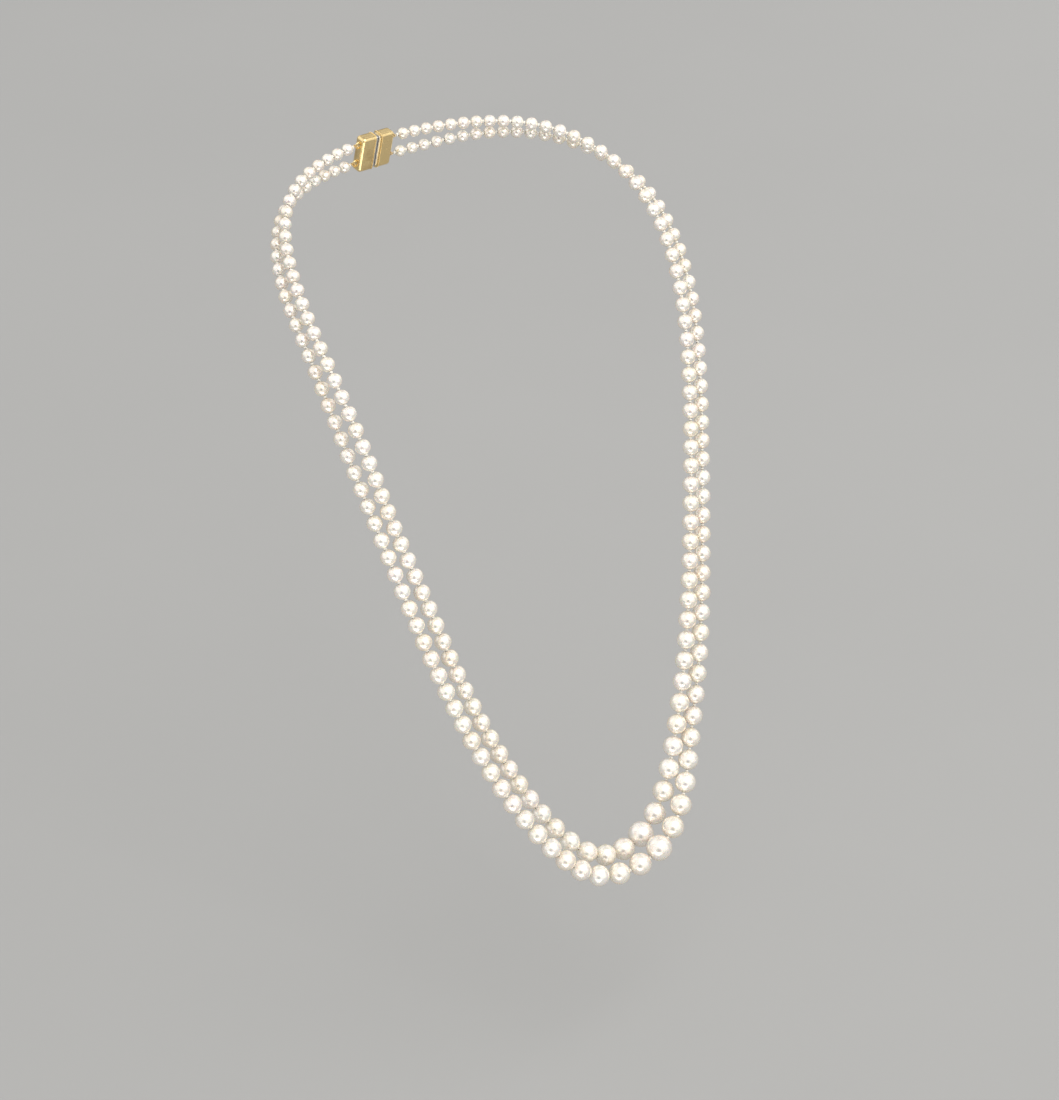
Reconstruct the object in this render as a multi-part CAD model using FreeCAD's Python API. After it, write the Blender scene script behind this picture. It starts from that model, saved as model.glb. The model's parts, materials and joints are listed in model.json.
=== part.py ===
import FreeCAD, Part
import bisect
import math
import os

V = FreeCAD.Vector

# A two-strand graduated pearl necklace, knotted between pearls, closed by a magnetic clasp.
# Frame: the front of the necklace faces -Y, +Z is up, X = 0 is the wearer's middle. The origin is
# where the bottom of the front rests on the wearer's chest. Millimetres.

# ---- pearls and silk ----
CENTRE_PEARL = 8.0      # the one large pearl at the front of each strand
SIDE_PEARL = 5.75       # size the side pearls would have without the swell and the taper
SWELL = 1.20            # how much larger the pearls beside the centre are
SWELL_RUN = 6.1         # pearls over which the swell dies away
TAPER = 0.0433          # each pearl is this much smaller than the one before
BORE_R = 0.42           # drilled hole
KNOT_R = 0.55           # silk knot between two pearls
THREAD_R = 0.22         # silk inside the pearls
THREAD_START = 0.60     # a thread that hinges on its neighbour's knot starts this far from it

# ---- how many pearls each body carries, front half first, then out to the clasp ----
INNER_COUNTS = (5, 9, 9, 10, 10, 10)
OUTER_COUNTS = (6, 9, 9, 10, 10, 10)
INNER_SHIFT = 11.7      # the centre pearl sits this far along the route from its first point
OUTER_SHIFT = 14.7

# ---- how the strands lie: from the bottom of the front up the right side, behind the neck and down ----
INNER_ROUTE = (
    (0.5, 1.5, 3.5), (15.5, 4, 7), (28.5, 12, 27.5), (38.5, 23, 50.5), (46, 34.5, 76.5),
    (53, 47.5, 103), (60, 62.5, 130.5), (65, 81, 156.5), (62.5, 104, 175.5), (46.5, 122.5, 186),
    (21.5, 132.5, 189), (-1, 135, 189), (-23, 132.5, 189.5), (-48.5, 122.5, 185.5), (-62, 99.5, 174),
    (-65.5, 74.5, 158.5), (-61.5, 59, 136), (-56, 50.5, 114), (-49.5, 41.5, 91.5), (-42, 31.5, 66),
    (-32.5, 21.5, 41.5), (-17.5, 9, 15),
)
OUTER_ROUTE = (
    (-2, -5.5, 2), (17.5, -4, 9), (34, 10.5, 27.5), (44, 22.5, 50.5), (51.5, 35, 76),
    (58, 48, 102.5), (64.5, 62.5, 129.5), (69.5, 81.5, 154.5), (67, 106, 172.5), (50, 124, 181.5),
    (23, 133, 184.5), (0, 135.5, 183.5), (-22, 133.5, 184), (-48.5, 124.5, 181), (-62.5, 106, 172.5),
    (-67, 83.5, 159.5), (-65, 66.5, 138), (-60, 51, 111), (-54, 37.5, 84.5), (-46, 26, 58.5),
    (-35.5, 13.5, 33.5), (-20, 0, 10.5),
)
BLEND = 45.0            # over this last run each strand closes in on its own clasp ring
ROUTE_STEPS = 4000      # short chords that stand for a route when lengths are measured along it

# ---- clasp, measured along the strand from the middle of the closed clasp ----
CLASP_HALF = 7.4        # out to the swivel axis of a half
CLASP_ROW = 6.2         # between the two strands at the clasp
CLASP_REACH = 7.0       # the clasp points along the chord between places this far either side of it
FACE_GAP = 0.1          # each half's face stands this far from the middle
CASE_START = 1.25       # the case begins this far in from the swivel axis
CASE_WIDTH = 11.4
CASE_THICK = 3.8
CASE_ROUND = 1.1
FACE_THICK = 0.6
FACE_INSET = 0.45
MAGNET_R = 1.25
MAGNET_LONG = 2.2
MAGNET_FIT = 0.05
MAGNET_WALL = 0.25      # metal between a magnet and the face plate
BAIL_R = 0.95           # ring at the end of each row, to the middle of its wire
BAIL_WIRE_R = 0.26
GIMP_R = 0.62           # loop of fine coiled wire round the bail
GIMP_WIRE_R = 0.17
END_KNOT = 1.38         # the last knot stands this far from the swivel axis
SPARE = 2.0             # blocks and drums run this far past the surfaces that trim them


def pearl_size(k):
    if k == 0:
        return CENTRE_PEARL
    return SIDE_PEARL + SWELL * math.exp(-(k - 1) / SWELL_RUN) - TAPER * (k - 1)


def placed(base, x, y):
    """The placement that stands at base with its own X and Y along these unit directions."""
    z = x.cross(y)
    m = FreeCAD.Matrix(x.x, y.x, z.x, 0, x.y, y.y, z.y, 0, x.z, y.z, z.z, 0, 0, 0, 0, 1)
    return FreeCAD.Placement(base, FreeCAD.Placement(m).Rotation)


class Route:
    """A closed smooth line through the points of a route, followed by length."""

    def __init__(self, points, shift):
        curve = Part.BSplineCurve()
        curve.interpolate(Points=[V(*p) for p in points], PeriodicFlag=True)
        first, last = curve.FirstParameter, curve.LastParameter
        step = (last - first) / ROUTE_STEPS
        self.points = [curve.value(first + step * i) for i in range(ROUTE_STEPS + 1)]
        self.reach = [0.0]
        for a, b in zip(self.points, self.points[1:]):
            self.reach.append(self.reach[-1] + a.distanceToPoint(b))
        self.length = self.reach[-1]
        self.shift = shift

    def at(self, s):
        """The point this far from the centre pearl, positive to the right."""
        s = (s + self.shift) % self.length
        i = min(bisect.bisect_right(self.reach, s), len(self.points) - 1)
        a, b = self.reach[i - 1], self.reach[i]
        return self.points[i - 1] + (self.points[i] - self.points[i - 1]) * ((s - a) / (b - a))


class ClaspFrame:
    """Middle of the closed clasp; ALONG runs to the right half, ROW from inner to outer."""

    def __init__(self, inner, outer):
        inner_half = inner.length / 2
        outer_half = outer.length / 2
        a = inner.at(inner_half)
        b = outer.at(outer_half)
        self.middle = (a + b) * 0.5
        left = inner.at(inner_half + CLASP_REACH) + outer.at(outer_half + CLASP_REACH)
        right = inner.at(inner_half - CLASP_REACH) + outer.at(outer_half - CLASP_REACH)
        self.along = (right - left).normalize()
        row = b - a
        self.row = (row - self.along * row.dot(self.along)).normalize()
        self.out = self.along.cross(self.row)

    def ring(self, side, strand):
        return (
            self.middle
            + self.along * (side * CLASP_HALF)
            + self.row * (CLASP_ROW / 2 * strand)
        )

    def placement(self, side):
        """X along the half towards the middle, Y across the rows, origin on the swivel axis."""
        return placed(self.middle + self.along * (side * CLASP_HALF), self.along * -side, self.row)


class Strand:
    """Knots and pearls of one strand. Index 0 is the centre pearl; knot k follows pearl k."""

    def __init__(self, route, counts, strand, clasp):
        self.route = route
        self.counts = counts
        self.strand = strand
        self.clasp = clasp
        total = sum(counts)
        sizes = sum(pearl_size(k) for k in range(1, total + 1))
        free = route.length / 2 - CLASP_HALF - END_KNOT - CENTRE_PEARL / 2 - sizes
        # One gap lies between neighbouring pearls, and half a gap beyond the last one.
        self.gap = free / (total + 0.5)

    def lie(self, side, t):
        """The route, eased over its last run onto the ring of the clasp."""
        end = self.route.length / 2 - CLASP_HALF
        w = min(max((t - (end - BLEND)) / BLEND, 0.0), 1.0)
        w = w * w * (3 - 2 * w)
        shift = self.clasp.ring(side, self.strand) - self.route.at(side * end)
        return self.route.at(side * t) + shift * w

    def knot(self, side, k):
        t = pearl_size(0) / 2 + self.gap / 2
        for j in range(1, k + 1):
            t += pearl_size(j) + self.gap
        return self.lie(side, t)

    def pearl(self, side, k):
        """Its centre and the direction of its hole."""
        if k == 0:
            a, b = self.knot(-1, 0), self.knot(1, 0)
        else:
            a, b = self.knot(side, k - 1), self.knot(side, k)
        return (a + b) * 0.5, (b - a).normalize()

    def first(self, segment):
        """Index of the first pearl of a side segment: 1 is the segment beside the front."""
        return sum(self.counts[:segment]) + 1


def aimed(base, direction):
    return FreeCAD.Placement(base, FreeCAD.Rotation(V(0, 0, 1), direction))


def drilled_pearl(centre, direction, size):
    r = size / 2
    h = math.sqrt(r * r - BORE_R * BORE_R)
    low, high = V(BORE_R, 0, -h), V(BORE_R, 0, h)
    edge = Part.Arc(low, V(r, 0, 0), high).toShape()
    bore = Part.makeLine(high, low)
    face = Part.Face(Part.Wire([edge, bore]))
    solid = face.revolve(V(0, 0, 0), V(0, 0, 1), 360)
    solid.Placement = aimed(centre, direction)
    return solid


def thread(a, b, skip):
    """From this far past knot a to the middle of knot b."""
    d = (b - a).normalize()
    a = a + d * skip
    return Part.makeCylinder(THREAD_R, a.distanceToPoint(b), a, d)


def knot_ball(centre, direction):
    """Its poles and its seam face away from the threads that enter it."""
    y = direction.normalize()
    x = V(0, 0, 1).cross(y).normalize()
    ball = Part.makeSphere(KNOT_R)
    ball.Placement = placed(centre, x, y)
    return ball


def knot_balls(line):
    last = len(line) - 1
    return [knot_ball(p, line[min(i + 1, last)] - line[max(i - 1, 0)]) for i, p in enumerate(line)]


def joined(pieces):
    return pieces[0].multiFuse(pieces[1:]).removeSplitter()


def front_pearls(strand):
    solids = [drilled_pearl(*strand.pearl(1, 0), pearl_size(0))]
    for side in (-1, 1):
        for k in range(1, strand.counts[0] + 1):
            solids.append(drilled_pearl(*strand.pearl(side, k), pearl_size(k)))
    return Part.makeCompound(solids)


def front_silk(strand):
    """It carries the knots that the first side segments hinge on."""
    n = strand.counts[0]
    line = [strand.knot(-1, k) for k in range(n, -1, -1)]
    line += [strand.knot(1, k) for k in range(0, n + 1)]
    pieces = knot_balls(line)
    pieces += [thread(a, b, 0) for a, b in zip(line, line[1:])]
    return joined(pieces)


def side_pearls(strand, side, segment):
    start = strand.first(segment)
    solids = []
    for k in range(start, start + strand.counts[segment]):
        solids.append(drilled_pearl(*strand.pearl(side, k), pearl_size(k)))
    return Part.makeCompound(solids)


def side_silk(strand, side, segment):
    start = strand.first(segment)
    line = [strand.knot(side, k) for k in range(start - 1, start + strand.counts[segment])]
    pieces = knot_balls(line)[1:]
    for i, (a, b) in enumerate(zip(line, line[1:])):
        pieces.append(thread(a, b, THREAD_START if i == 0 else 0))
    return joined(pieces)


def gimps(clasp, side):
    """One loop of fine coiled wire round each bail, on the swivel axis."""
    solids = []
    for strand in (-1, 1):
        centre = clasp.ring(side, strand)
        solids.append(Part.makeTorus(GIMP_R, GIMP_WIRE_R, centre, clasp.row))
    return Part.makeCompound(solids)


def rounded_block(x0, x1, wide, thick, r):
    block = Part.makeBox(x1 - x0, wide, thick, V(x0, -wide / 2, -thick / 2))
    return block.makeFillet(r, block.Edges)


def swing_drum(radius):
    """Everything within this radius of the swivel axis."""
    half = CASE_WIDTH / 2 + SPARE
    return Part.makeCylinder(radius, 2 * half, V(0, -half, 0), V(0, 1, 0))


def clasp_case():
    """Metal shell with two bails; the mouth is rounded about the swivel axis."""
    mouth = CLASP_HALF - FACE_GAP - FACE_THICK
    body = rounded_block(CASE_START, CLASP_HALF + SPARE, CASE_WIDTH, CASE_THICK, CASE_ROUND)
    body = body.common(swing_drum(mouth))
    for row in (-1, 1):
        centre = V(BAIL_R, row * CLASP_ROW / 2, 0)
        bail = Part.makeTorus(BAIL_R, BAIL_WIRE_R, centre, V(0, 0, 1))
        body = body.fuse(bail)
    return body.cut(magnets(MAGNET_FIT)).removeSplitter()


def clasp_face():
    outer = CLASP_HALF - FACE_GAP
    wide = CASE_WIDTH - 2 * FACE_INSET
    thick = CASE_THICK - 2 * FACE_INSET
    plate = rounded_block(CASE_START, CLASP_HALF + SPARE, wide, thick, CASE_ROUND - FACE_INSET)
    return plate.common(swing_drum(outer)).cut(swing_drum(outer - FACE_THICK))


def magnets(grow):
    """Two discs behind the face plate, with room round them for a fit."""
    far = CLASP_HALF - FACE_GAP - FACE_THICK - MAGNET_WALL
    solids = []
    for row in (-1, 1):
        start = V(far - MAGNET_LONG - grow, row * CLASP_ROW / 2, 0)
        solids.append(
            Part.makeCylinder(MAGNET_R + grow, MAGNET_LONG + 2 * grow, start, V(1, 0, 0))
        )
    return Part.makeCompound(solids)


def write(name, shape):
    shape.exportStep(os.path.join("parts", name + ".step"))


def main():
    os.makedirs("parts", exist_ok=True)
    inner_route = Route(INNER_ROUTE, INNER_SHIFT)
    outer_route = Route(OUTER_ROUTE, OUTER_SHIFT)
    clasp = ClaspFrame(inner_route, outer_route)
    strands = {
        "inner": Strand(inner_route, INNER_COUNTS, -1, clasp),
        "outer": Strand(outer_route, OUTER_COUNTS, 1, clasp),
    }
    for name, strand in strands.items():
        print(name, "strand length", round(strand.route.length, 2), "knot gap", round(strand.gap, 3))
        write(name + "_pearls_front", front_pearls(strand))
        write(name + "_silk_front", front_silk(strand))
        for label, side in (("left", -1), ("right", 1)):
            for segment in range(1, len(strand.counts)):
                write(f"{name}_pearls_{label}_{segment}", side_pearls(strand, side, segment))
                write(f"{name}_silk_{label}_{segment}", side_silk(strand, side, segment))
    for label, side in (("left", -1), ("right", 1)):
        write(label + "_gimp_loops", gimps(clasp, side))
        place = clasp.placement(side)
        parts = (("case", clasp_case()), ("face", clasp_face()), ("magnets", magnets(0)))
        for name, shape in parts:
            shape = shape.copy()
            shape.Placement = place
            write(f"{label}_clasp_{name}", shape)


main()
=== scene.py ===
import functools
import json
import math
import random

import bpy
import numpy as np
from mathutils import Matrix, Vector


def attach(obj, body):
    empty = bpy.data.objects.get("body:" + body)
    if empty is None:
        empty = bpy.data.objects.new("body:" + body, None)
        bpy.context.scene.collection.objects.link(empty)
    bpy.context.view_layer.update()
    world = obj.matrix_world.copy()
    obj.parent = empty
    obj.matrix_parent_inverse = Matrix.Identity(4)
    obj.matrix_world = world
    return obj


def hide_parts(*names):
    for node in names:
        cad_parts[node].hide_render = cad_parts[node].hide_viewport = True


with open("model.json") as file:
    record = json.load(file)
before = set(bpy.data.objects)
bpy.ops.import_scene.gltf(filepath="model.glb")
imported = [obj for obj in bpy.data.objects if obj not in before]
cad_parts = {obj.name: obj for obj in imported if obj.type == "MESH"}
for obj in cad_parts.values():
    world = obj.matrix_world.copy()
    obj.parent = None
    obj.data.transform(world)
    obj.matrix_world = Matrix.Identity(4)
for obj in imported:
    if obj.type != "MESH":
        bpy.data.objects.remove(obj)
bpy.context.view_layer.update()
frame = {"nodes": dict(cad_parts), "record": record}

rng = random.Random(21)
MM = 0.001

# ---- the camera: where it aims and how it stands, metres and degrees ----
AIM = Vector((0.0, 0.057, 0.084))
DISTANCE = 0.8528
AZIMUTH = -40.0
ELEVATION = 34.5
ROLL = 6.0
LENS_MM = 91.85
SENSOR_MM = 36.0

# ---- the room ----
FLOOR_Z = -0.068
ROOM_LIGHT = 1.06
ROOM_BRIGHT = (1.0, 1.0, 1.0)
ROOM_BACK = (0.40, 0.39, 0.37)
ROOM_DARK = (0.02, 0.02, 0.022)
ROOM_SEEN = (0.325, 0.323, 0.317)   # the plain far wall behind the floor
DARK_AZIMUTH = -43.0      # the middle of the unlit stretch of the room
DARK_ELEVATION = 16.0
DARK_INNER = 12.0         # degrees from that middle to where light begins
DARK_OUTER = 25.0         # to where the room is fully bright
BRIGHT_END = 78.0         # to where it begins to dim again
BACK_START = 112.0        # and to where it is as dim as the back
FLOOR_HALF = 60.0         # far enough that the floor's edge is never in view

# ---- sizes that repeat those in part.py ----
BORE_R = 0.42 * MM
CLASP_HALF = 7.4 * MM
CLASP_ROW = 6.2 * MM
CASE_WIDTH = 11.4 * MM
CASE_THICK = 3.8 * MM
CASE_ROUND = 1.1 * MM
FACE_GAP = 0.1 * MM
FACE_THICK = 0.6 * MM
GIMP_R = 0.62 * MM

# ---- pearls ----
PLACES_PER_METRE = 1e7  # vertices this finely alike are one place
RINGS = 40              # points round a pearl
ROWS = 24               # rows from one hole to the other
LIP = 0.06 * MM         # softening of the edge of a pearl's hole
SWELLS = 4
SWELL_RATE = 2.1        # how quickly each swell comes and goes over a pearl
OUT_OF_ROUND = 0.0011   # depth of each swell, as a share of the pearl's radius
BORE_SHARE = 0.7        # faces nearer a pearl's middle than this share of its radius are its hole
NEIGHBOURS = 3          # pearls further apart than this many times both radii have the clasp between
PEARL_BODY = (0.95, 0.92, 0.865)
PEARL_CREAM = (-0.005, -0.035, -0.105)
PEARL_ROSE = (0.01, -0.03, -0.005)
PEARL_GREEN = (-0.03, 0.0, -0.02)
PEARL_DIMMEST = 0.965

# ---- silk ----
SILK_R = 0.20 * MM
SILK_SIDES = 8
SILK_RIDGE = 0.16       # depth of the groove between the two plies, as a share of the radius
SILK_STEP = 0.22 * MM
SILK_SHADE = (0.98, 0.98, 0.98)
TWIST = 1.5 * MM        # length of silk for one turn of its two plies
KNOT_COIL_R = 0.30 * MM
KNOT_WIRE_R = 0.19 * MM
KNOT_SIDES = 7
KNOT_RIDGE = 0.12
KNOT_TURNS = 2.1
KNOT_STEPS = 30
KNOT_LONG = 0.52 * MM
KNOT_RIPPLE = 0.045 * MM
KNOT_SLANT = 0.22 * MM
KNOT_SHADE = (1.0, 1.0, 1.0)
CROSS_R = 0.40 * MM     # the one strand that crosses the coils of a knot
CROSS_WIRE_R = 0.17 * MM
CROSS_LONG = 0.66 * MM
CROSS_STEPS = 8
CROSS_SHADE = (0.96, 0.96, 0.96)

# ---- what is added to the clasp ----
MILGRAIN_R = 0.17 * MM
MILGRAIN_PITCH = 2.05 * MILGRAIN_R
MILGRAIN_BACK = 0.30 * MM   # the beads stand this far behind the mouth of the case
CORNER_STEPS = 6
BEAD_ROWS = 6
BEAD_RING = 8
BEAD_FLAT = 0.9
GIMP_COIL_R = 0.115 * MM
GIMP_WIRE_R = 0.055 * MM
GIMP_TURNS = 34
GIMP_STEPS = 8              # points for each turn of the coil
GIMP_SIDES = 5


# ------------------------------------------------------------------ meshes

def new_object(name, verts, faces, smooth=True):
    mesh = bpy.data.meshes.new(name)
    mesh.from_pydata([tuple(v) for v in verts], [], faces)
    mesh.update()
    for p in mesh.polygons:
        p.use_smooth = smooth
    obj = bpy.data.objects.new(name, mesh)
    bpy.context.scene.collection.objects.link(obj)
    return obj


def set_colours(obj, name, colours):
    """A colour for each vertex, for the material to read."""
    layer = obj.data.color_attributes.new(name, "FLOAT_COLOR", "POINT")
    flat = np.ones((len(colours), 4), dtype=np.float32)
    flat[:, :3] = colours
    layer.data.foreach_set("color", flat.ravel())


def frame_along(direction):
    """Two unit vectors square to this direction and to each other, and its own unit vector."""
    d = np.asarray(direction, dtype=float)
    d = d / np.linalg.norm(d)
    helper = np.array([0.0, 0.0, 1.0]) if abs(d[2]) < 0.9 else np.array([1.0, 0.0, 0.0])
    u = np.cross(helper, d)
    u /= np.linalg.norm(u)
    return u, np.cross(d, u), d


def tube(path, radius, sides, closed=False, ridge=0.0, turns=0.0):
    """Vertices and faces of a tube along a path; ridge and turns give it a twisted cord's lobes."""
    path = np.asarray(path, dtype=float)
    n = len(path)
    if closed:
        tangents = np.roll(path, -1, 0) - np.roll(path, 1, 0)
    else:
        tangents = np.gradient(path, axis=0)
    tangents /= np.linalg.norm(tangents, axis=1)[:, None]
    u = frame_along(tangents[0])[0]
    verts = []
    for i in range(n):
        t = tangents[i]
        u = u - t * u.dot(t)
        u /= np.linalg.norm(u)
        w = np.cross(t, u)
        for k in range(sides):
            a = 2 * math.pi * k / sides
            lobes = 1 + ridge * math.cos(2 * (a - turns * 2 * math.pi * i / n))
            verts.append(path[i] + radius * lobes * (math.cos(a) * u + math.sin(a) * w))
    faces = []
    for i in range(n if closed else n - 1):
        j = (i + 1) % n
        for k in range(sides):
            m = (k + 1) % sides
            faces.append((i * sides + k, i * sides + m, j * sides + m, j * sides + k))
    if not closed:
        faces.append(tuple(range(sides))[::-1])
        faces.append(tuple((n - 1) * sides + k for k in range(sides)))
    return verts, faces


class Heap:
    """Gathers pieces of mesh into one object."""

    def __init__(self):
        self.verts = []
        self.faces = []
        self.colours = []

    def add(self, verts, faces, colour=(1, 1, 1)):
        base = len(self.verts)
        self.verts.extend(verts)
        self.faces.extend(tuple(base + i for i in f) for f in faces)
        self.colours.extend([colour] * len(verts))

    def build(self, name, attribute=None):
        obj = new_object(name, self.verts, self.faces)
        if attribute:
            set_colours(obj, attribute, np.array(self.colours))
        return obj


# ------------------------------------------------- reading pearls off the frame

def islands(mesh):
    """Lists of vertex numbers, one for each separate solid."""
    parent = list(range(len(mesh.vertices)))

    def root(i):
        while parent[i] != i:
            parent[i] = parent[parent[i]]
            i = parent[i]
        return i

    places = {}
    for v in mesh.vertices:
        key = tuple(round(c * PLACES_PER_METRE) for c in v.co)
        places.setdefault(key, v.index)
        parent[root(v.index)] = root(places[key])
    for e in mesh.edges:
        parent[root(e.vertices[0])] = root(e.vertices[1])
    groups = {}
    for i in range(len(parent)):
        groups.setdefault(root(i), []).append(i)
    return list(groups.values())


def sphere_through(points):
    """Centre and radius of the sphere that fits these points best."""
    a = np.hstack([2 * points, np.ones((len(points), 1))])
    x = np.linalg.lstsq(a, (points ** 2).sum(1), rcond=None)[0]
    return x[:3], math.sqrt(x[3] + x[:3].dot(x[:3]))


@functools.cache
def pearls_of(node):
    """Centre, radius and direction of the hole of each pearl in a CAD node."""
    mesh = frame["nodes"][node].data
    points = np.array([v.co for v in mesh.vertices])
    owner = {}
    found = []
    for number, group in enumerate(islands(mesh)):
        centre, radius = sphere_through(points[group])
        found.append([centre, radius, np.zeros((3, 3))])
        for i in group:
            owner[i] = number
    for p in mesh.polygons:
        pearl = found[owner[p.vertices[0]]]
        middle = points[list(p.vertices)].mean(0)
        if np.linalg.norm(middle - pearl[0]) < BORE_SHARE * pearl[1]:
            n = np.array(p.normal)
            pearl[2] += p.area * np.outer(n, n)
    for pearl in found:
        pearl[2] = np.linalg.eigh(pearl[2])[1][:, 0]
    return found


def in_order(pearls):
    """Numbers of one closed strand's pearls, each beside the next, starting from the largest."""
    left = set(range(len(pearls)))
    line = [max(left, key=lambda i: pearls[i][1])]
    left.remove(line[0])
    while left:
        here = pearls[line[-1]][0]
        near = min(left, key=lambda i: np.linalg.norm(pearls[i][0] - here))
        left.remove(near)
        line.append(near)
    return line


# ------------------------------------------------------------------ pearls

def pearl_mesh(centre, radius, axis):
    """A pearl drilled through, very slightly out of round, with the edge of the hole softened."""
    u, w, d = frame_along(axis)
    start = math.asin((BORE_R + LIP) / radius)
    bumps = []
    for _ in range(SWELLS):
        way = [rng.gauss(0, 1) for _ in range(3)]
        bumps.append((np.array(way), rng.uniform(0, 6.28)))
    spin = rng.uniform(0, 6.28)
    top = math.sqrt(radius ** 2 - BORE_R ** 2)
    profile = [(BORE_R, top - 1.6 * LIP)]
    profile.append((BORE_R + 0.25 * LIP, top - 0.6 * LIP))
    for i in range(ROWS + 1):
        t = start + (math.pi - 2 * start) * i / ROWS
        profile.append((radius * math.sin(t), radius * math.cos(t)))
    profile.append((BORE_R + 0.25 * LIP, -profile[1][1]))
    profile.append((BORE_R, -profile[0][1]))
    turn = 2 * math.pi * np.arange(RINGS) / RINGS + spin
    round_it = np.cos(turn)[:, None] * u + np.sin(turn)[:, None] * w
    r, h = np.array(profile).T
    verts = r[:, None, None] * round_it + h[:, None, None] * d
    unit = verts / radius
    swell = sum(OUT_OF_ROUND * np.sin(SWELL_RATE * unit.dot(way) + phase) for way, phase in bumps)
    swell[[0, 1, -2, -1]] = 0
    verts = (verts * (1 + swell[:, :, None]) + centre).reshape(-1, 3)
    faces = []
    rows = len(profile)
    for i in range(rows):
        j = (i + 1) % rows
        for k in range(RINGS):
            m = (k + 1) % RINGS
            faces.append((i * RINGS + k, j * RINGS + k, j * RINGS + m, i * RINGS + m))
    return verts, faces


def pearl_tint():
    """Body colour of one pearl: white to cream, with a breath of rose or green in some."""
    cream = rng.betavariate(2.0, 3.0)
    rose = rng.betavariate(1.4, 4.0)
    green = rng.betavariate(1.1, 7.0)
    colour = np.array(PEARL_BODY)
    colour = colour + cream * np.array(PEARL_CREAM)
    colour = colour + rose * np.array(PEARL_ROSE)
    colour = colour + green * np.array(PEARL_GREEN)
    return tuple(colour * rng.uniform(PEARL_DIMMEST, 1.0))


def build_pearls(node):
    heap = Heap()
    for centre, radius, axis in pearls_of(node):
        verts, faces = pearl_mesh(centre, radius, axis)
        heap.add(verts, faces, pearl_tint())
    return heap.build(node.replace("pearls", "nacre"), "tint")


# ------------------------------------------------------------------ silk

def knot_between(a, b):
    """Where the knot lies between two neighbouring pearls."""
    gap = (np.linalg.norm(b[0] - a[0]) - a[1] - b[1]) / 2
    way = b[0] - a[0]
    ends = []
    for pearl, sense in ((a, 1), (b, -1)):
        axis = pearl[2] * (1 if pearl[2].dot(way) > 0 else -1)
        ends.append(pearl[0] + axis * sense * (pearl[1] + gap))
    return (ends[0] + ends[1]) / 2, way / np.linalg.norm(way)


def knot_mesh(heap, place, axis):
    """An overhand knot pulled tight: coils of thread crossed by one strand."""
    u, w, d = frame_along(axis)
    turn = rng.uniform(0, 6.28)
    tilt = rng.uniform(0.25, 0.5)
    coil = []
    for i in range(KNOT_STEPS + 1):
        t = i / KNOT_STEPS
        a = turn + 2 * math.pi * KNOT_TURNS * t
        r = KNOT_COIL_R + KNOT_RIPPLE * math.sin(5 * a + turn)
        h = (t - 0.5) * KNOT_LONG + tilt * KNOT_SLANT * math.cos(a)
        coil.append(np.asarray(place) + r * (math.cos(a) * u + math.sin(a) * w) + h * d)
    heap.add(*tube(coil, KNOT_WIRE_R, KNOT_SIDES, ridge=KNOT_RIDGE, turns=5), KNOT_SHADE)
    across = []
    for i in range(CROSS_STEPS + 1):
        t = i / CROSS_STEPS
        a = turn + 1.2 + 2.0 * (t - 0.5)
        bulge = CROSS_R * math.sin(math.pi * (0.15 + 0.7 * t))
        side = math.cos(a) * u + math.sin(a) * w
        across.append(np.asarray(place) + bulge * side + (t - 0.5) * CROSS_LONG * d)
    heap.add(*tube(across, CROSS_WIRE_R, KNOT_SIDES, ridge=KNOT_RIDGE, turns=2), CROSS_SHADE)


def thread_mesh(heap, a, b):
    """Two-ply silk from one knot to the next, through a pearl."""
    length = np.linalg.norm(b - a)
    n = max(8, int(length / SILK_STEP))
    path = [a + (b - a) * i / n for i in range(n + 1)]
    heap.add(*tube(path, SILK_R, SILK_SIDES, ridge=SILK_RIDGE, turns=length / TWIST), SILK_SHADE)


def apart(a, b):
    """Whether the clasp lies between these two pearls."""
    return np.linalg.norm(a[0] - b[0]) > NEIGHBOURS * (a[1] + b[1])


def silk_layout(strand):
    """For each CAD body, the knots and lengths of thread of one strand."""
    nodes = sorted(n for n in frame["nodes"] if n.startswith(strand + "_pearls"))
    homes = []
    every = []
    for node in nodes:
        for pearl in pearls_of(node):
            homes.append(node.replace(strand + "_pearls_", ""))
            every.append(pearl)
    order = in_order(every)
    line = [every[i] for i in order]
    names = [homes[i] for i in order]
    rank = [0 if n == "front" else int(n[-1]) for n in names]
    knots = {}
    threads = {}
    count = len(line)
    for i, a in enumerate(line):
        j = (i + 1) % count
        b = line[j]
        if apart(a, b):
            continue
        owner = names[i] if rank[i] <= rank[j] else names[j]
        knots.setdefault(owner, []).append(knot_between(a, b))
    for i, pearl in enumerate(line):
        before = line[i - 1]
        after = line[(i + 1) % count]
        near = before if apart(pearl, after) else after
        gap = (np.linalg.norm(near[0] - pearl[0]) - near[1] - pearl[1]) / 2
        axis = pearl[2]
        ends = (pearl[0] - axis * (pearl[1] + gap), pearl[0] + axis * (pearl[1] + gap))
        threads.setdefault(names[i], []).append(ends)
        if apart(pearl, after) or apart(pearl, before):
            end = max(ends, key=lambda p: np.linalg.norm(p - near[0]))
            knots.setdefault(names[i], []).append((end, axis))
    return knots, threads


def build_silk(strand):
    knots, threads = silk_layout(strand)
    built = []
    for body in sorted(threads):
        heap = Heap()
        for place, axis in knots.get(body, []):
            knot_mesh(heap, place, axis)
        for a, b in threads[body]:
            thread_mesh(heap, a, b)
        built.append((heap.build(f"{strand}_knotted_silk_{body}", "shade"), body))
    return built


# ------------------------------------------------------------------ clasp

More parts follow.
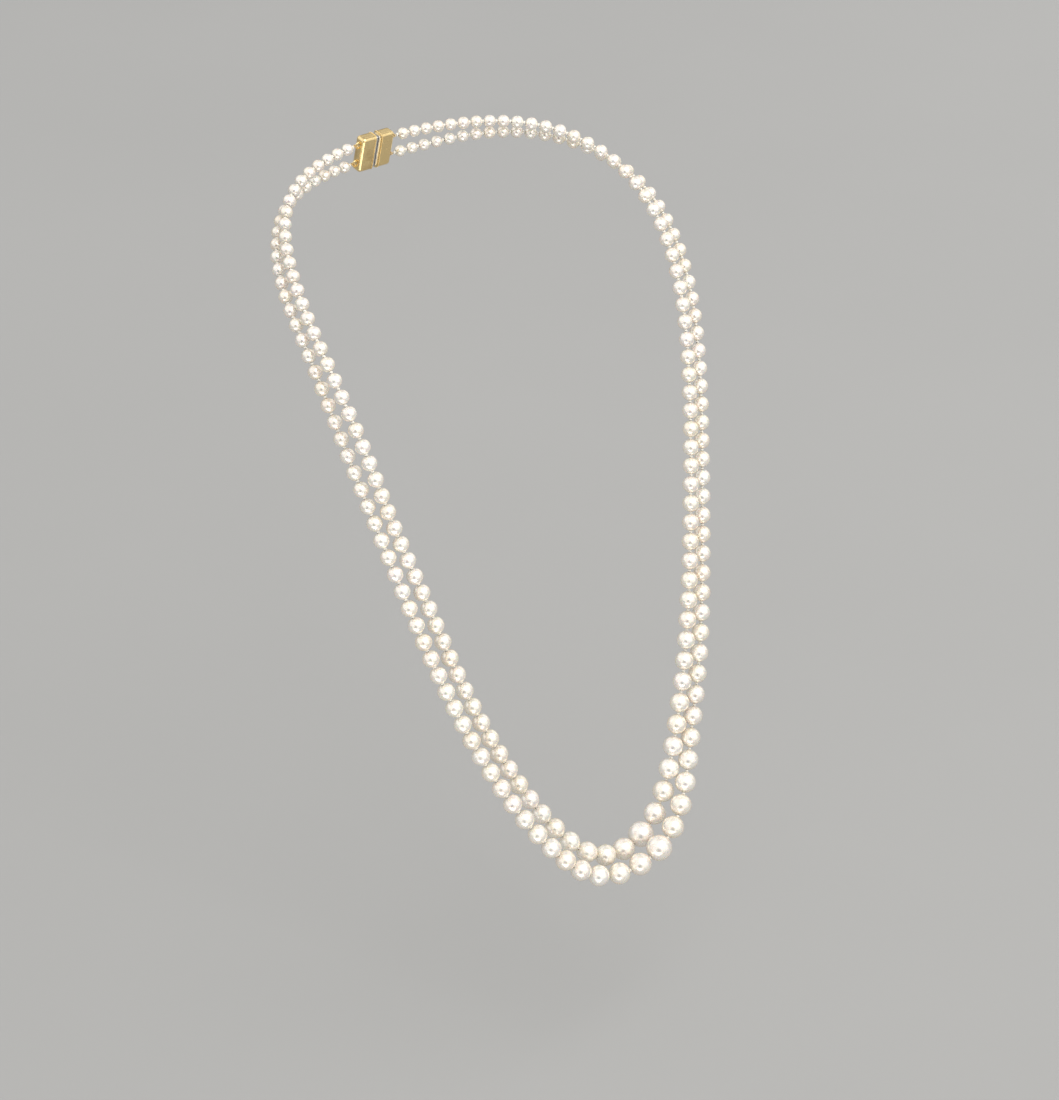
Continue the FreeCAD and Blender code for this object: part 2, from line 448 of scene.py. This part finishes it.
def swivel(side):
    """Where a clasp half hinges, its axis, the way to the other half, and the way square to both."""
    joints = {j["name"]: j for j in frame["record"]["behaviour"]["joints"]}
    own = joints[side + "_clasp_swivel"]
    other = {"left": "right", "right": "left"}[side]
    twin = joints[other + "_clasp_swivel"]
    base = np.array(own["pos_m"])
    row = np.array(own["axis"])
    along = np.array(twin["pos_m"]) - base
    along -= row * along.dot(row)
    along /= np.linalg.norm(along)
    return base, row, along, np.cross(along, row)


def bead_mesh(heap, centre, radius):
    """A small bead, flattened a little, for a row of milgrain."""
    verts = []
    for i in range(BEAD_ROWS + 1):
        t = math.pi * i / BEAD_ROWS
        for k in range(BEAD_RING):
            a = 2 * math.pi * k / BEAD_RING
            spot = [math.sin(t) * math.cos(a), math.sin(t) * math.sin(a), BEAD_FLAT * math.cos(t)]
            verts.append(np.asarray(centre) + radius * np.array(spot))
    faces = []
    for i in range(BEAD_ROWS):
        here = i * BEAD_RING
        after = here + BEAD_RING
        for k in range(BEAD_RING):
            m = (k + 1) % BEAD_RING
            faces.append((here + k, after + k, after + m, here + m))
    heap.add(verts, faces)


def milgrain(side):
    """A row of tiny beads round the case, close to its mouth."""
    base, row, along, out = swivel(side)
    flat_x = CASE_WIDTH / 2 - CASE_ROUND
    flat_y = CASE_THICK / 2 - CASE_ROUND
    outline = []
    for cx, cy, first in ((1, 1, 0), (-1, 1, 90), (-1, -1, 180), (1, -1, 270)):
        for i in range(CORNER_STEPS + 1):
            a = math.radians(first + 90 * i / CORNER_STEPS)
            x = cx * flat_x + CASE_ROUND * math.cos(a)
            y = cy * flat_y + CASE_ROUND * math.sin(a)
            outline.append((x, y))
    outline = np.array(outline)
    loop = np.vstack([outline, outline[:1]])
    reach = np.concatenate([[0], np.cumsum(np.linalg.norm(np.diff(loop, axis=0), axis=1))])
    count = int(reach[-1] / MILGRAIN_PITCH)
    drum = CLASP_HALF - FACE_GAP - FACE_THICK - MILGRAIN_BACK
    heap = Heap()
    for i in range(count):
        s = reach[-1] * i / count
        x = np.interp(s, reach, loop[:, 0])
        y = np.interp(s, reach, loop[:, 1])
        depth = math.sqrt(drum ** 2 - y ** 2)
        bead_mesh(heap, base + row * x + out * y + along * depth, MILGRAIN_R)
    return heap.build(side + "_clasp_milgrain")


def gimp_coils(side):
    """Fine wire wound into a coil, the coil bent into a loop round each bail."""
    base, row, along, out = swivel(side)
    heap = Heap()
    steps = GIMP_TURNS * GIMP_STEPS
    for sense in (-1, 1):
        centre = base + row * CLASP_ROW / 2 * sense
        path = []
        for i in range(steps):
            a = 2 * math.pi * i / steps
            b = GIMP_TURNS * a
            radial = math.cos(a) * along + math.sin(a) * out
            outward = GIMP_R + GIMP_COIL_R * math.cos(b)
            path.append(centre + radial * outward + row * GIMP_COIL_R * math.sin(b))
        heap.add(*tube(path, GIMP_WIRE_R, GIMP_SIDES, closed=True))
    return heap.build(side + "_gimp_coils")


# ------------------------------------------------------------------ materials

def material(name):
    m = bpy.data.materials.new(name)
    m.use_nodes = True
    nodes = m.node_tree.nodes
    return m, nodes, m.node_tree.links, nodes["Principled BSDF"]


def noise(nodes, links, scale, detail=3.0, rough=0.5, coords=None, distortion=0.0):
    n = nodes.new("ShaderNodeTexNoise")
    n.inputs["Scale"].default_value = scale
    n.inputs["Detail"].default_value = detail
    n.inputs["Roughness"].default_value = rough
    n.inputs["Distortion"].default_value = distortion
    if coords:
        links.new(coords, n.inputs["Vector"])
    return n


def ramp(nodes, links, source, low, high, out_low, out_high):
    r = nodes.new("ShaderNodeMapRange")
    r.inputs["From Min"].default_value = low
    r.inputs["From Max"].default_value = high
    r.inputs["To Min"].default_value = out_low
    r.inputs["To Max"].default_value = out_high
    links.new(source, r.inputs["Value"])
    return r.outputs["Result"]


def nacre():
    """Layers of nacre: cream body, soft overtone clouds, deep gloss under a clear skin."""
    m, nodes, links, bsdf = material("nacre")
    coords = nodes.new("ShaderNodeTexCoord").outputs["Object"]
    tint = nodes.new("ShaderNodeVertexColor")
    tint.layer_name = "tint"
    cloud = noise(nodes, links, 260.0, 2.0, 0.5, coords, 0.3)
    overtone = nodes.new("ShaderNodeMix")
    overtone.data_type = "RGBA"
    overtone.blend_type = "MULTIPLY"
    overtone.inputs["B"].default_value = (1.0, 0.95, 0.93, 1)
    clouding = ramp(nodes, links, cloud.outputs["Fac"], 0.40, 0.70, 0.0, 0.55)
    links.new(clouding, overtone.inputs["Factor"])
    links.new(tint.outputs["Color"], overtone.inputs["A"])
    speck = noise(nodes, links, 1500.0, 4.0, 0.6, coords)
    warm = nodes.new("ShaderNodeMix")
    warm.data_type = "RGBA"
    warm.blend_type = "MULTIPLY"
    warm.inputs["B"].default_value = (0.97, 0.93, 0.84, 1)
    specking = ramp(nodes, links, speck.outputs["Fac"], 0.52, 0.75, 0.0, 0.15)
    links.new(specking, warm.inputs["Factor"])
    links.new(overtone.outputs["Result"], warm.inputs["A"])
    links.new(warm.outputs["Result"], bsdf.inputs["Base Color"])
    haze = noise(nodes, links, 520.0, 3.0, 0.5, coords)
    gloss = ramp(nodes, links, haze.outputs["Fac"], 0.3, 0.7, 0.23, 0.30)
    links.new(gloss, bsdf.inputs["Roughness"])
    layers = noise(nodes, links, 3200.0, 3.0, 0.55, coords, 0.6)
    dimples = noise(nodes, links, 420.0, 2.0, 0.5, coords)
    total = nodes.new("ShaderNodeMath")
    total.operation = "MULTIPLY_ADD"
    links.new(dimples.outputs["Fac"], total.inputs[0])
    total.inputs[1].default_value = 2.0
    links.new(layers.outputs["Fac"], total.inputs[2])
    bump = nodes.new("ShaderNodeBump")
    bump.inputs["Strength"].default_value = 0.008
    bump.inputs["Distance"].default_value = 0.00012
    links.new(total.outputs["Value"], bump.inputs["Height"])
    links.new(bump.outputs["Normal"], bsdf.inputs["Normal"])
    bsdf.inputs["Metallic"].default_value = 0.56
    bsdf.inputs["Specular Tint"].default_value = (0.92, 0.80, 0.60, 1)
    bsdf.inputs["IOR"].default_value = 1.62
    bsdf.inputs["Coat Weight"].default_value = 0.25
    bsdf.inputs["Coat Roughness"].default_value = 0.16
    bsdf.inputs["Coat IOR"].default_value = 1.55
    bsdf.inputs["Subsurface Weight"].default_value = 0.15
    bsdf.inputs["Subsurface Radius"].default_value = (1.0, 0.62, 0.36)
    bsdf.inputs["Subsurface Scale"].default_value = 0.0009
    return m


def silk():
    """Cream silk with a fine fibre, its colour painted lighter on the fibre ridges and darker in
    their hollows as painted shade.
    """
    m, nodes, links, bsdf = material("silk")
    coords = nodes.new("ShaderNodeTexCoord").outputs["Object"]
    shade = nodes.new("ShaderNodeVertexColor")
    shade.layer_name = "shade"
    fibre = noise(nodes, links, 5200.0, 4.0, 0.65, coords, 1.2)
    # painted shade: the fibre noise that raises the bump also darkens the colour in its hollows and
    # lightens it on its ridges
    colours = nodes.new("ShaderNodeValToRGB")
    colours.color_ramp.elements[0].position = 0.3
    colours.color_ramp.elements[0].color = (0.80, 0.77, 0.68, 1)
    colours.color_ramp.elements[1].position = 0.68
    colours.color_ramp.elements[1].color = (0.97, 0.95, 0.90, 1)
    links.new(fibre.outputs["Fac"], colours.inputs["Fac"])
    mix = nodes.new("ShaderNodeMix")
    mix.data_type = "RGBA"
    mix.blend_type = "MULTIPLY"
    mix.inputs["Factor"].default_value = 1.0
    links.new(colours.outputs["Color"], mix.inputs["A"])
    links.new(shade.outputs["Color"], mix.inputs["B"])
    links.new(mix.outputs["Result"], bsdf.inputs["Base Color"])
    dullness = ramp(nodes, links, fibre.outputs["Fac"], 0.3, 0.7, 0.55, 0.75)
    links.new(dullness, bsdf.inputs["Roughness"])
    bump = nodes.new("ShaderNodeBump")
    bump.inputs["Strength"].default_value = 0.35
    bump.inputs["Distance"].default_value = 0.00004
    links.new(fibre.outputs["Fac"], bump.inputs["Height"])
    links.new(bump.outputs["Normal"], bsdf.inputs["Normal"])
    bsdf.inputs["Sheen Weight"].default_value = 0.6
    bsdf.inputs["Sheen Roughness"].default_value = 0.35
    bsdf.inputs["Sheen Tint"].default_value = (1.0, 0.97, 0.9, 1)
    return m


def metal(name, colour, tarnish, rough_low, rough_high, scale):
    """Polished metal with hairline scuffs and patches of faint tarnish."""
    m, nodes, links, bsdf = material(name)
    coords = nodes.new("ShaderNodeTexCoord").outputs["Object"]
    stretch = nodes.new("ShaderNodeMapping")
    stretch.inputs["Scale"].default_value = (1.0, 1.0, 7.0)
    links.new(coords, stretch.inputs["Vector"])
    scuffs = noise(nodes, links, scale, 5.0, 0.6, stretch.outputs["Vector"])
    patches = noise(nodes, links, scale * 0.22, 3.0, 0.5, coords)
    colours = nodes.new("ShaderNodeMix")
    colours.data_type = "RGBA"
    colours.inputs["A"].default_value = (*colour, 1)
    colours.inputs["B"].default_value = (*tarnish, 1)
    tarnishing = ramp(nodes, links, patches.outputs["Fac"], 0.50, 0.72, 0.0, 0.8)
    links.new(tarnishing, colours.inputs["Factor"])
    links.new(colours.outputs["Result"], bsdf.inputs["Base Color"])
    scuffing = ramp(nodes, links, scuffs.outputs["Fac"], 0.3, 0.7, rough_low, rough_high)
    links.new(scuffing, bsdf.inputs["Roughness"])
    bump = nodes.new("ShaderNodeBump")
    bump.inputs["Strength"].default_value = 0.12
    bump.inputs["Distance"].default_value = 0.00003
    links.new(scuffs.outputs["Fac"], bump.inputs["Height"])
    links.new(bump.outputs["Normal"], bsdf.inputs["Normal"])
    bsdf.inputs["Metallic"].default_value = 1.0
    return m


def floor_material():
    m, nodes, links, bsdf = material("studio_floor")
    coords = nodes.new("ShaderNodeTexCoord").outputs["Object"]
    mottle = noise(nodes, links, 3.0, 4.0, 0.6, coords)
    colours = nodes.new("ShaderNodeMix")
    colours.data_type = "RGBA"
    colours.inputs["A"].default_value = (0.355, 0.353, 0.347, 1)
    colours.inputs["B"].default_value = (0.385, 0.383, 0.376, 1)
    links.new(mottle.outputs["Fac"], colours.inputs["Factor"])
    links.new(colours.outputs["Result"], bsdf.inputs["Base Color"])
    bsdf.inputs["Roughness"].default_value = 0.85
    bsdf.inputs["Specular IOR Level"].default_value = 0.2
    return m


def wear(obj, m):
    obj.data.materials.clear()
    obj.data.materials.append(m)


# ------------------------------------------------------------------ the studio

def heading(azimuth, elevation):
    """Unit vector this way, in degrees: azimuth 0 is -Y and grows towards +X."""
    a = math.radians(azimuth)
    e = math.radians(elevation)
    return (math.sin(a) * math.cos(e), -math.cos(a) * math.cos(e), math.sin(e))


def camera_axes():
    a = math.radians(AZIMUTH)
    r = math.radians(ROLL)
    back = Vector(heading(AZIMUTH, ELEVATION))
    right = Vector((math.cos(a), math.sin(a), 0.0))
    up = back.cross(right)
    return (
        right * math.cos(r) + up * math.sin(r),
        up * math.cos(r) - right * math.sin(r),
        back,
    )


def make_camera():
    data = bpy.data.cameras.new("camera")
    data.lens = LENS_MM
    data.sensor_width = SENSOR_MM
    data.sensor_fit = "AUTO"
    data.clip_start = 0.01
    obj = bpy.data.objects.new("camera", data)
    bpy.context.scene.collection.objects.link(obj)
    x, y, z = camera_axes()
    turn = Matrix((x, y, z)).transposed().to_4x4()
    obj.matrix_world = Matrix.Translation(AIM + z * DISTANCE) @ turn
    bpy.context.scene.camera = obj


def make_floor():
    corners = ((-1, -1), (1, -1), (1, 1), (-1, 1))
    verts = [(x * FLOOR_HALF, y * FLOOR_HALF, FLOOR_Z) for x, y in corners]
    floor = new_object("studio_floor", verts, [(0, 1, 2, 3)], smooth=False)
    wear(floor, floor_material())


def softbox(name, place, aim, size, power, colour=(1, 1, 1)):
    data = bpy.data.lights.new(name, "AREA")
    data.shape = "RECTANGLE"
    data.size, data.size_y = size
    data.energy = power
    data.color = colour
    obj = bpy.data.objects.new(name, data)
    obj.location = place
    obj.rotation_euler = (Vector(aim) - Vector(place)).to_track_quat("-Z", "Y").to_euler()
    obj.visible_camera = False
    bpy.context.scene.collection.objects.link(obj)


def make_lights():
    centre = (0.0, 0.06, 0.08)
    softbox("key", (0.12, -0.52, 1.20), centre, (1.5, 1.1), 9.4, (1.0, 0.99, 0.97))
    low = (-0.36, -0.38, FLOOR_Z + 0.01)
    above = (-0.36, -0.38, 1.0)
    softbox("bounce", low, above, (0.6, 0.6), 2.4, (1.0, 0.99, 0.98))
    softbox("right_back", (1.0, 0.33, 0.55), centre, (1.3, 1.1), 2.6)
    softbox("left_back", (-0.17, 1.00, 0.62), centre, (1.4, 1.0), 2.0)
    make_room()


def make_room():
    """A bright room above and round the front, unlit where its dark stretch is and dim behind."""
    world = bpy.data.worlds.new("studio")
    bpy.context.scene.world = world
    world.use_nodes = True
    nodes, links = world.node_tree.nodes, world.node_tree.links
    sky = nodes["Background"]
    sky.inputs["Strength"].default_value = ROOM_LIGHT
    toward = nodes.new("ShaderNodeVectorMath")
    toward.operation = "DOT_PRODUCT"
    links.new(nodes.new("ShaderNodeTexCoord").outputs["Generated"], toward.inputs[0])
    toward.inputs[1].default_value = heading(DARK_AZIMUTH, DARK_ELEVATION)
    share = nodes.new("ShaderNodeMapRange")
    share.inputs["From Min"].default_value = -1.0
    links.new(toward.outputs["Value"], share.inputs["Value"])
    shades = nodes.new("ShaderNodeValToRGB")
    bar = shades.color_ramp
    bar.interpolation = "EASE"
    bar.elements[0].color = (*ROOM_BACK, 1)
    bar.elements[1].color = (*ROOM_DARK, 1)
    stops = (
        (BACK_START, ROOM_BACK),
        (BRIGHT_END, ROOM_BRIGHT),
        (DARK_OUTER, ROOM_BRIGHT),
        (DARK_INNER, ROOM_DARK),
    )
    for angle, colour in stops:
        stop = bar.elements.new((math.cos(math.radians(angle)) + 1) / 2)
        stop.color = (*colour, 1)
    links.new(share.outputs["Result"], shades.inputs["Fac"])
    seen = nodes.new("ShaderNodeMix")
    seen.data_type = "RGBA"
    seen.inputs["B"].default_value = (*ROOM_SEEN, 1)
    links.new(nodes.new("ShaderNodeLightPath").outputs["Is Camera Ray"], seen.inputs["Factor"])
    links.new(shades.outputs["Color"], seen.inputs["A"])
    links.new(seen.outputs["Result"], sky.inputs["Color"])


# ------------------------------------------------------------------ everything

def place(obj, body, slot, m, *nodes):
    wear(obj, m)
    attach(obj, body)
    if nodes:
        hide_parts(*nodes)


def main():
    bpy.context.scene.view_settings.view_transform = "Standard"
    make_camera()
    make_floor()
    make_lights()
    pearl_look = nacre()
    silk_look = silk()
    gold = metal("clasp_gold", (0.86, 0.66, 0.33), (0.62, 0.44, 0.20), 0.14, 0.30, 900.0)
    gimp_gold = metal("gimp_gold", (0.90, 0.72, 0.40), (0.66, 0.49, 0.25), 0.20, 0.36, 2400.0)
    steel = metal("face_steel", (0.74, 0.73, 0.71), (0.55, 0.54, 0.52), 0.22, 0.40, 1300.0)
    nickel = metal("magnet_nickel", (0.70, 0.69, 0.66), (0.52, 0.51, 0.48), 0.12, 0.26, 1100.0)
    for node in sorted(frame["nodes"]):
        if "_pearls_" in node:
            body = node.split("_pearls_")[1]
            place(build_pearls(node), body, "pearl", pearl_look, node)
    for strand in ("inner", "outer"):
        for obj, body in build_silk(strand):
            place(obj, body, "silk", silk_look, f"{strand}_silk_{body}")
    for side in ("left", "right"):
        place(gimp_coils(side), side + "_5", "gimp_wire", gimp_gold, side + "_gimp_loops")
        place(milgrain(side), side + "_clasp", "clasp_metal", gold)
        for part, look in (("case", gold), ("face", steel), ("magnets", nickel)):
            wear(frame["nodes"][f"{side}_clasp_{part}"], look)


main()
bpy.context.view_layer.update()
